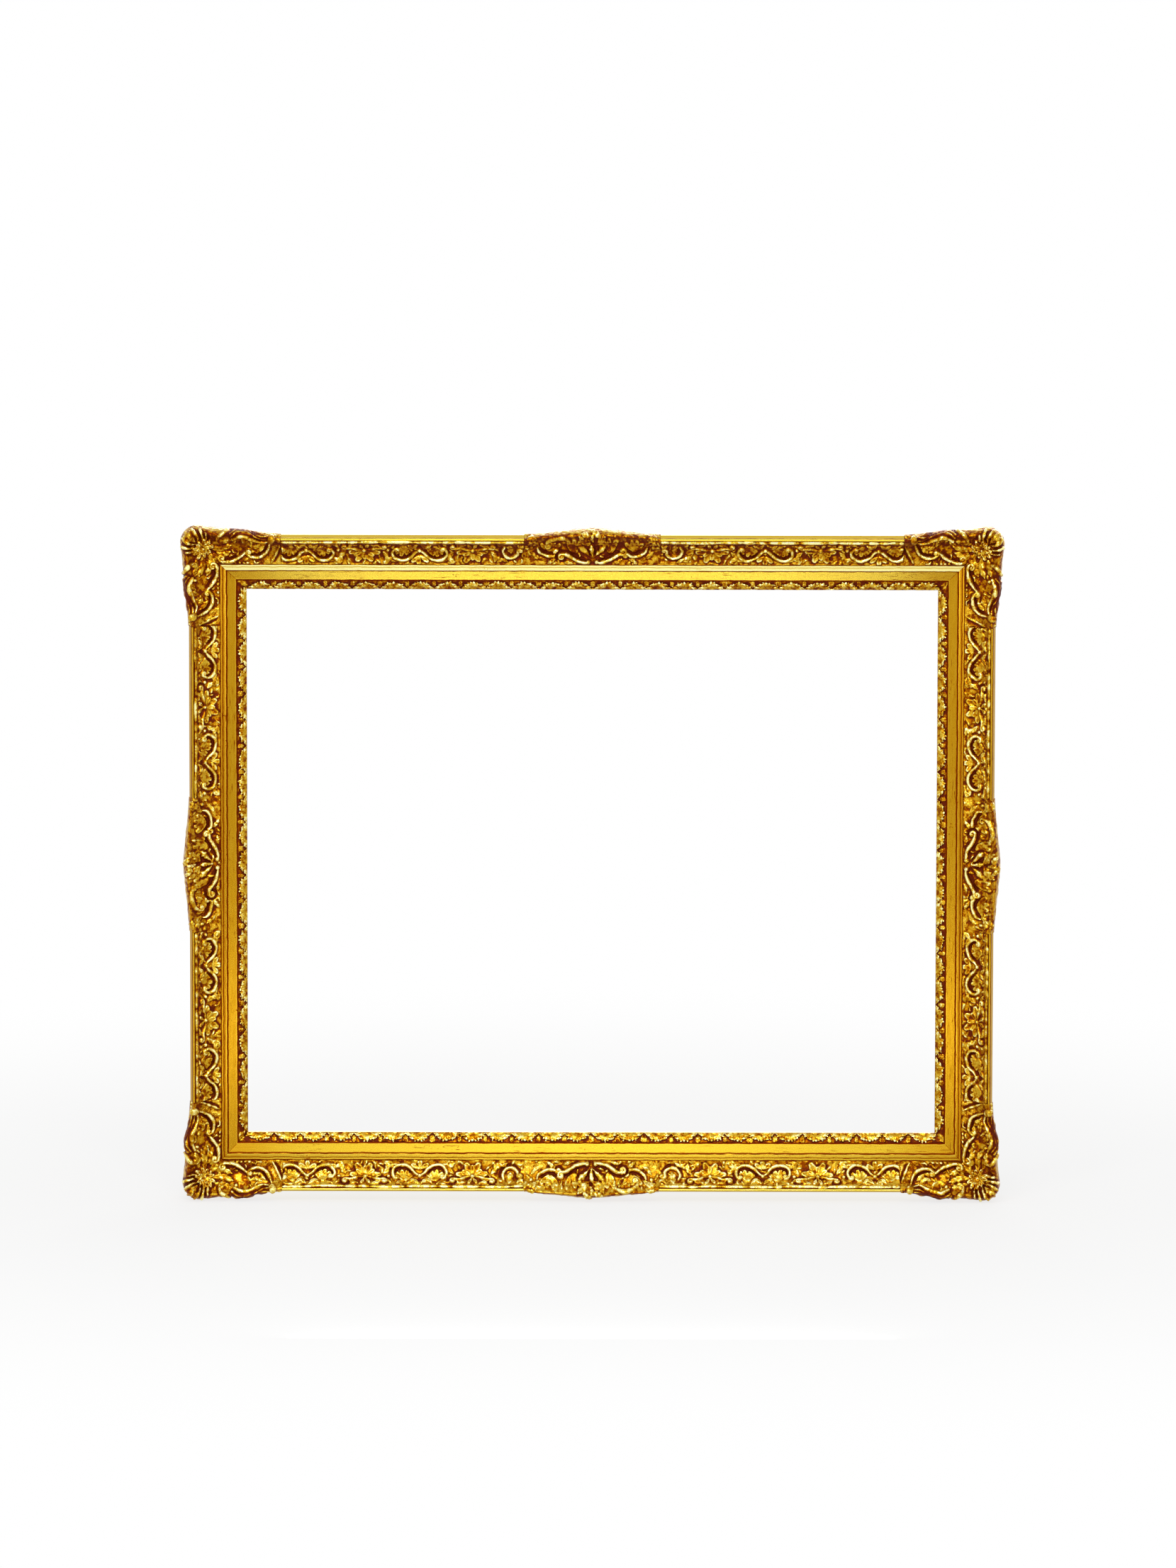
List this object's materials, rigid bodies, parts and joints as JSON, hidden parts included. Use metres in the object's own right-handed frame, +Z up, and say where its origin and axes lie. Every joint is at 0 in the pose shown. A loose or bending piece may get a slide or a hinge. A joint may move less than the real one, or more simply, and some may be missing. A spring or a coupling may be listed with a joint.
{
  "type": "picture frame",
  "caption": "Gilded swept picture frame with scrolled corners and centres, a plain inner slip, a rebate for a picture, hanging rings and turn buttons",
  "frame": {"origin": "middle of the plane that the picture's face rests in, at the front of the rebate", "axes": "+X to the right seen from the front, along the longer sides; +Z up; the frame faces -Y and its back is towards +Y"},
  "size_m": [0.895, 0.0653, 0.743],
  "materials": {
    "gilt_wood": "gold leaf over red bole on the front, bare wood behind",
    "gilt_composition": "gold leaf over red bole on moulded composition",
    "steel": "zinc plated",
    "felt": "dense felt"
  },
  "bodies": {
    "frame": {"rail_bottom": "gilt_wood", "rail_right": "gilt_wood", "rail_top": "gilt_wood", "rail_left": "gilt_wood", "slip_bottom": "gilt_wood", "slip_right": "gilt_wood", "slip_top": "gilt_wood", "slip_left": "gilt_wood", "cove_ornament_bottom_right": "gilt_composition", "cove_ornament_bottom_left": "gilt_composition", "cove_ornament_right_top": "gilt_composition", "cove_ornament_right_bottom": "gilt_composition", "cove_ornament_top_left": "gilt_composition", "cove_ornament_top_right": "gilt_composition", "cove_ornament_left_bottom": "gilt_composition", "cove_ornament_left_top": "gilt_composition", "corner_casting_bottom_left": "gilt_composition", "corner_casting_bottom_right": "gilt_composition", "corner_casting_top_right": "gilt_composition", "corner_casting_top_left": "gilt_composition", "centre_casting_bottom": "gilt_composition", "centre_casting_right": "gilt_composition", "centre_casting_top": "gilt_composition", "centre_casting_left": "gilt_composition", "leaf_strip_bottom": "gilt_composition", "leaf_strip_right": "gilt_composition", "leaf_strip_top": "gilt_composition", "leaf_strip_left": "gilt_composition", "v_nails": "steel", "hanger_strap_left": "steel", "hanger_strap_right": "steel", "hanger_screws": "steel", "turn_button_screws": "steel", "wall_bumpers": "felt"},
    "hanger_ring_left": {"hanger_ring_left": "steel"},
    "hanger_ring_right": {"hanger_ring_right": "steel"},
    "turn_button_bottom_left": {"turn_button_bottom_left": "steel"},
    "turn_button_bottom_right": {"turn_button_bottom_right": "steel"},
    "turn_button_right": {"turn_button_right": "steel"},
    "turn_button_top_right": {"turn_button_top_right": "steel"},
    "turn_button_top_left": {"turn_button_top_left": "steel"},
    "turn_button_left": {"turn_button_left": "steel"}
  },
  "joints": [
    {"name": "hanger_ring_left_swing", "type": "hinge", "parent": "frame", "child": "hanger_ring_left", "pos_m": [-0.42, 0.02138, 0.19], "axis": [1, 0, 0], "range_deg": [0, 180]},
    {"name": "hanger_ring_right_swing", "type": "hinge", "parent": "frame", "child": "hanger_ring_right", "pos_m": [0.42, 0.02138, 0.19], "axis": [1, 0, 0], "range_deg": [0, 180]},
    {"name": "turn_button_bottom_left_turn", "type": "hinge", "parent": "frame", "child": "turn_button_bottom_left", "pos_m": [-0.1905, 0.018, -0.3185], "axis": [0, 1, 0], "continuous": true},
    {"name": "turn_button_bottom_right_turn", "type": "hinge", "parent": "frame", "child": "turn_button_bottom_right", "pos_m": [0.1905, 0.018, -0.3185], "axis": [0, 1, 0], "continuous": true},
    {"name": "turn_button_right_turn", "type": "hinge", "parent": "frame", "child": "turn_button_right", "pos_m": [0.3945, 0.018, 0], "axis": [0, 1, 0], "continuous": true},
    {"name": "turn_button_top_right_turn", "type": "hinge", "parent": "frame", "child": "turn_button_top_right", "pos_m": [0.1905, 0.018, 0.3185], "axis": [0, 1, 0], "continuous": true},
    {"name": "turn_button_top_left_turn", "type": "hinge", "parent": "frame", "child": "turn_button_top_left", "pos_m": [-0.1905, 0.018, 0.3185], "axis": [0, 1, 0], "continuous": true},
    {"name": "turn_button_left_turn", "type": "hinge", "parent": "frame", "child": "turn_button_left", "pos_m": [-0.3945, 0.018, 0], "axis": [0, 1, 0], "continuous": true}
  ]
}
